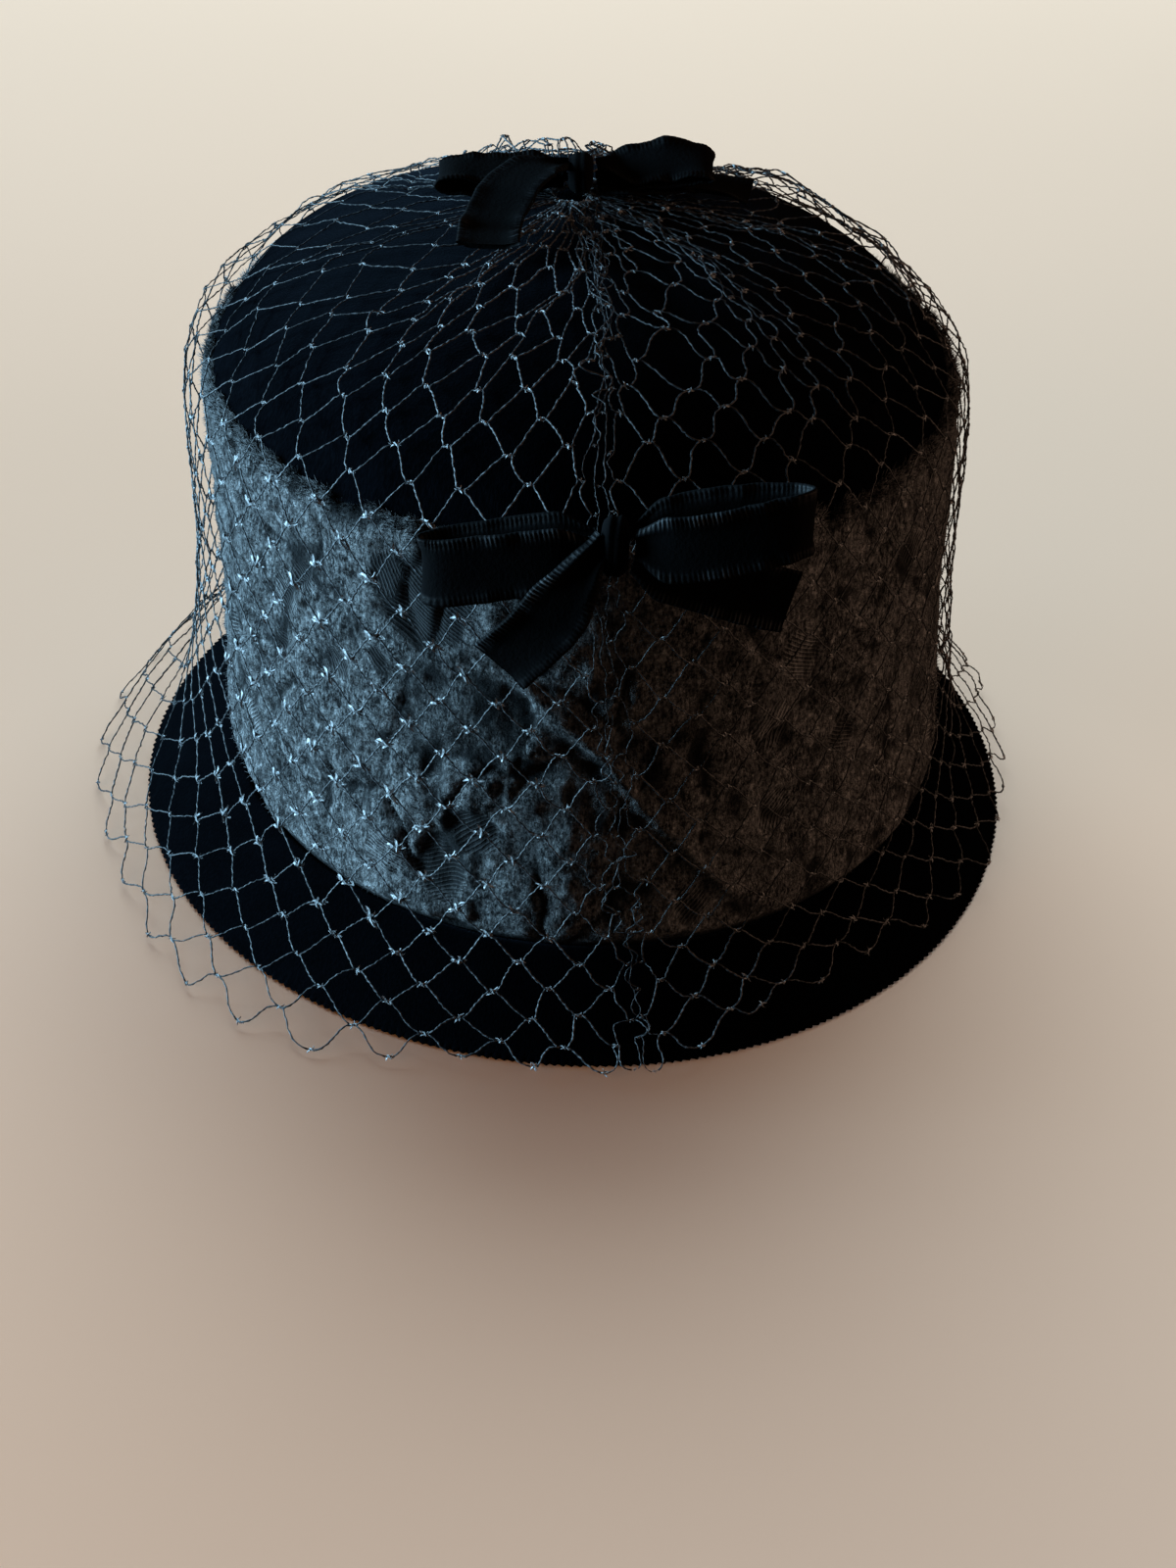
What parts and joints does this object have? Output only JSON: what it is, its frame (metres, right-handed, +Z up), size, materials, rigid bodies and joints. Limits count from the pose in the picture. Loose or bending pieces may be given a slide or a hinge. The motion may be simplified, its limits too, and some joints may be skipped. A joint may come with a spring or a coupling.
{
  "type": "cloche hat with net veil",
  "caption": "Velvet cloche hat with a rounded crown, a plush side band, a turned-down brim, ribbon bows and a net veil.",
  "frame": {"origin": "centre of the bottom of the hat's box, level with the brim's edge that the hat rests on", "axes": "+Z up through the crown, +Y from the back bow to the front of the hat, +X to the wearer's right"},
  "size_m": [0.2316, 0.26, 0.1599],
  "materials": {
    "tip_velvet": "black silk velvet, short pile, matt with a faint blue sheen at grazing angles",
    "band_plush": "charcoal plush cloth, brushed and blistered, with smoother ribbed hollows",
    "brim_velvet": "black velvet, short pile, with a finely serrated edge",
    "bow_ribbon": "black velvet ribbon with ribbed woven edges",
    "veil_net": "dark grey twisted net thread with a slight silvery lustre"
  },
  "bodies": {
    "root": {"crown_tip": "tip_velvet", "crown_side": "band_plush", "brim": "brim_velvet", "veil": "veil_net", "back_bow_loop_left": "bow_ribbon", "back_bow_loop_right": "bow_ribbon", "back_bow_tail_left": "bow_ribbon", "back_bow_tail_right": "bow_ribbon", "back_bow_knot": "bow_ribbon", "top_bow_loop_left": "bow_ribbon", "top_bow_loop_right": "bow_ribbon", "top_bow_tail_left": "bow_ribbon", "top_bow_tail_right": "bow_ribbon", "top_bow_knot": "bow_ribbon"}
  },
  "joints": []
}
